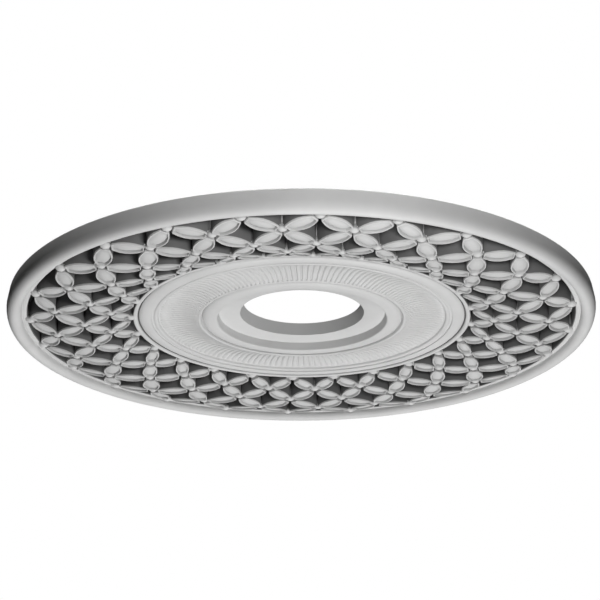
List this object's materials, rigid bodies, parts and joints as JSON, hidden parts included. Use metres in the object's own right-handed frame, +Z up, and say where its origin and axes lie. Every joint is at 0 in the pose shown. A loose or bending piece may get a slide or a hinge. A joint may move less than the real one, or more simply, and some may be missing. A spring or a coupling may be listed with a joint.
{
  "type": "ceiling rose",
  "caption": "Round cast ceiling rose with a lattice of crossing leaves over blind pockets, a reeded dish and a central hole, made to be fixed flat to a ceiling.",
  "frame": {"origin": "on the rose's axis, in the plane of its flat back, where it lies against the ceiling", "axes": "+Z up along the rose's axis, into the ceiling; the carved face looks down along -Z; +X runs from the axis through a junction of leaves at the outer lip"},
  "size_m": [0.7206, 0.7206, 0.0385],
  "materials": {
    "painted_moulding": "matte off-white paint over a rigid foam casting"
  },
  "bodies": {
    "root": {"ceiling_rose": "painted_moulding"}
  },
  "joints": []
}
